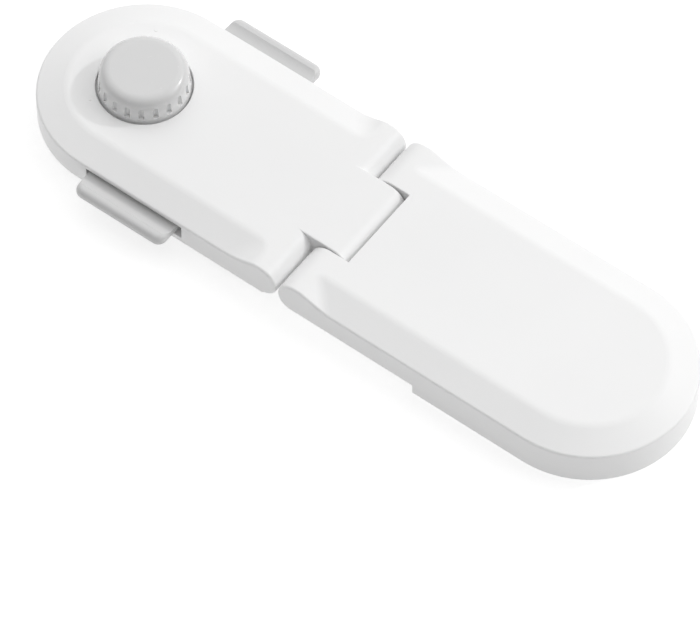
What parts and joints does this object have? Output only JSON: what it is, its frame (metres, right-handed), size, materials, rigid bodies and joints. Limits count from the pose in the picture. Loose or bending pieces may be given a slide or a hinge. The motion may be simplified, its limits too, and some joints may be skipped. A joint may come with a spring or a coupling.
{
  "type": "child safety cabinet lock",
  "caption": "Hinged two-leaf cabinet lock with a fluted turn knob, push tabs in both side walls, a notched drawer plate and adhesive pads that hold it over a drawer's top edge.",
  "frame": {"origin": "point under the hinge axis, on the lock's centreline, in the plane of the adhesive pads; it is 0.4 mm from the middle of the lock's length", "axes": "+X along the lock from the latch half to the anchor half, +Y along the hinge axis towards the pin plug, +Z out of the top face, away from the furniture"},
  "size_m": [0.1399, 0.0494, 0.0143],
  "materials": {
    "white_shell": "white moulded ABS, satin with a fine even grain",
    "white_plate": "white moulded plastic, matt, unseen inner pieces",
    "grey_plastic": "light grey moulded plastic, satin, slightly glossy on the knob",
    "steel": "zinc-plated steel",
    "spring_steel": "bright spring steel",
    "foam": "white closed-cell foam adhesive pad"
  },
  "bodies": {
    "anchor_half": {"anchor_cover": "white_shell", "anchor_base_plate": "white_plate", "anchor_screws": "steel", "anchor_pad": "foam", "hinge_pin": "steel", "hinge_pin_plug": "white_shell"},
    "latch_half": {"latch_cover": "white_shell", "latch_bottom_plate": "white_plate", "latch_screws": "steel", "catch_spring_near": "spring_steel", "catch_spring_far": "spring_steel", "detent_spring": "spring_steel"},
    "turn_knob": {"knob_cap": "grey_plastic", "knob_cam": "white_plate", "knob_washer": "steel", "knob_screw": "steel"},
    "near_button": {"button_near": "grey_plastic"},
    "far_button": {"button_far": "grey_plastic"},
    "drawer_mount": {"drawer_plate": "white_plate", "drawer_pad": "foam"}
  },
  "joints": [
    {"name": "hinge_fold", "type": "hinge", "parent": "anchor_half", "child": "latch_half", "pos_m": [0, 0, 0.0056], "axis": [0, 1, 0], "range_deg": [-93, 93]},
    {"name": "knob_turn", "type": "hinge", "parent": "latch_half", "child": "turn_knob", "pos_m": [-0.0496, 0, 0.0092], "axis": [0, 0, 1], "range_deg": [-90, 0], "deforming": ["detent_spring"]},
    {"name": "near_button_press", "type": "slide", "parent": "latch_half", "child": "near_button", "axis": [0, 1, 0], "range_m": [0, 0.0022], "stiffness_N_per_m": 600, "springref_m": -0.002, "deforming": ["catch_spring_near"]},
    {"name": "far_button_press", "type": "slide", "parent": "latch_half", "child": "far_button", "axis": [0, -1, 0], "range_m": [0, 0.0022], "stiffness_N_per_m": 600, "springref_m": -0.002, "deforming": ["catch_spring_far"]},
    {"name": "drawer_plate_release", "type": "slide", "parent": "latch_half", "child": "drawer_mount", "axis": [0, 0, -1], "range_m": [0, 0.008], "deforming": ["catch_spring_near", "catch_spring_far"]}
  ]
}
